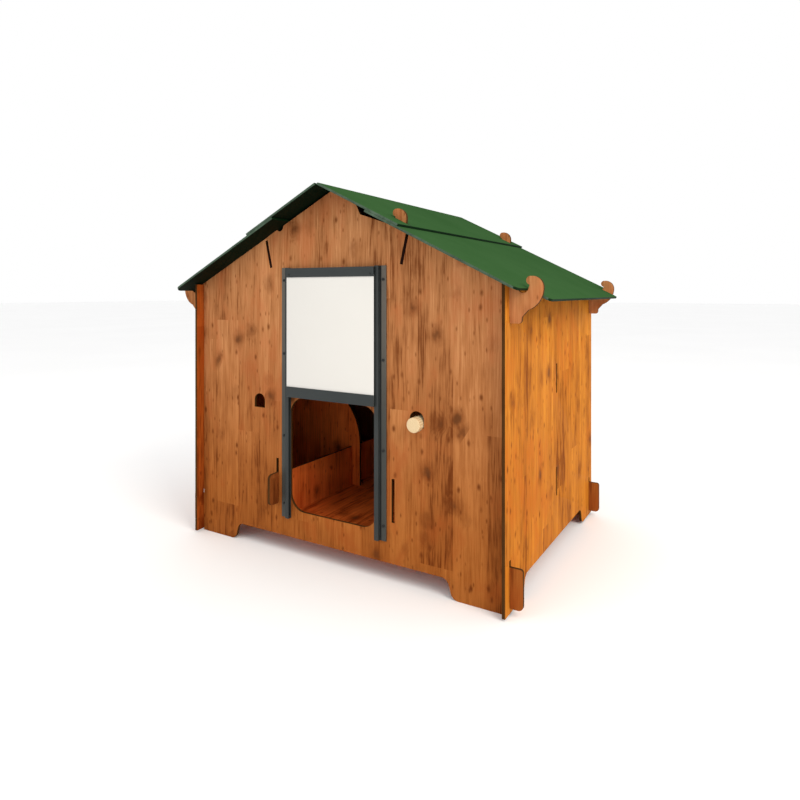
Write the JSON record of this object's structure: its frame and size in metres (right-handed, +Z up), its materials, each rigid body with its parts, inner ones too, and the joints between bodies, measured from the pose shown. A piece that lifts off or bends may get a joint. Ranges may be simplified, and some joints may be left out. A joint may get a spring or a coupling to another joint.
{
  "type": "poultry coop",
  "caption": "Flat-pack poultry coop of slot-and-hook panels with a clipped pitched roof, a nest corner, a perch and an automatic sliding pop door.",
  "frame": {"origin": "on the ground, under the middle of the coop's outer box", "axes": "+X to the right seen from the front, +Y from the front to the back, +Z up"},
  "size_m": [1.184, 0.869, 1.0154],
  "materials": {
    "wall_print": "satin compact laminate with a pine-board print and dark core edges",
    "inner_print": "satin compact laminate with a pine-board print and dark core edges",
    "roof_green": "matt green laminate with a dark core",
    "perch_wood": "turned and sanded pale wood",
    "slate_aluminium": "slate-grey powder coat",
    "screw_steel": "blackened",
    "black_plastic": "moulded matt black",
    "door_white": "off-white sheet",
    "motor_steel": "brushed",
    "pinion_white": "moulded acetal",
    "cell_jacket": "printed jacket without text",
    "board_green": "solder mask",
    "sensor_lens": "clear moulded lens",
    "button_red": "moulded red"
  },
  "bodies": {
    "root": {"front_wall": "wall_print", "rear_wall": "wall_print", "left_side_wall": "wall_print", "right_side_wall": "wall_print", "floor_panel": "inner_print", "left_bearer": "inner_print", "right_bearer": "inner_print", "front_bearer": "inner_print", "rear_bearer": "inner_print", "nest_divider": "inner_print", "left_purlin": "inner_print", "right_purlin": "inner_print", "left_rail": "slate_aluminium", "right_rail": "slate_aluminium", "rail_screws": "screw_steel", "rail_end_plugs": "black_plastic", "gear_rack": "black_plastic"},
    "door": {"door_plate": "door_white", "door_top_bar": "slate_aluminium", "door_bottom_bar": "slate_aluminium", "bar_screws": "screw_steel", "slider_shoes": "black_plastic", "drive_cover": "black_plastic", "cover_screws": "screw_steel", "drive_motor": "motor_steel", "gearbox": "black_plastic", "battery_holder": "black_plastic", "battery_cells": "cell_jacket", "control_board": "board_green", "light_sensor": "sensor_lens"},
    "pinion": {"drive_pinion": "pinion_white"},
    "button": {"push_button": "button_red"},
    "upper_left_sheet": {"roof_upper_left": "roof_green"},
    "upper_right_sheet": {"roof_upper_right": "roof_green"},
    "lower_left_sheet": {"roof_lower_left": "roof_green"},
    "lower_right_sheet": {"roof_lower_right": "roof_green"},
    "perch_bar": {"perch": "perch_wood"},
    "wing": {"nest_wing": "inner_print"}
  },
  "joints": [
    {"name": "door_slide", "type": "slide", "parent": "root", "child": "door", "axis": [0, 0, -1], "range_m": [0, 0.335]},
    {"name": "pinion_spin", "type": "hinge", "parent": "door", "child": "pinion", "pos_m": [0.14015, -0.3711, 0.785], "axis": [0, -1, 0], "range_deg": [0, 2400]},
    {"name": "button_press", "type": "slide", "parent": "door", "child": "button", "axis": [0, 0, -1], "range_m": [0, 0.001], "stiffness_N_per_m": 400},
    {"name": "roof_upper_left_slide", "type": "slide", "parent": "root", "child": "upper_left_sheet", "axis": [0.8955, 0, 0.4451], "range_m": [0, 0.0025]},
    {"name": "roof_upper_right_slide", "type": "slide", "parent": "root", "child": "upper_right_sheet", "axis": [-0.8955, 0, 0.4451], "range_m": [0, 0.0025]},
    {"name": "roof_lower_left_slide", "type": "slide", "parent": "root", "child": "lower_left_sheet", "axis": [0.8955, 0, 0.4451], "range_m": [0, 0.0045]},
    {"name": "roof_lower_right_slide", "type": "slide", "parent": "root", "child": "lower_right_sheet", "axis": [-0.8955, 0, 0.4451], "range_m": [0, 0.0045]},
    {"name": "perch_lift", "type": "slide", "parent": "root", "child": "perch_bar", "axis": [0, 0, 1], "range_m": [0, 0.0115]},
    {"name": "wing_lift", "type": "slide", "parent": "root", "child": "wing", "axis": [0, 0, 1], "range_m": [0, 0.016]}
  ],
  "couplings": [
    {"joint": "pinion_spin", "follows": "door_slide", "rad_per_m": 125}
  ]
}
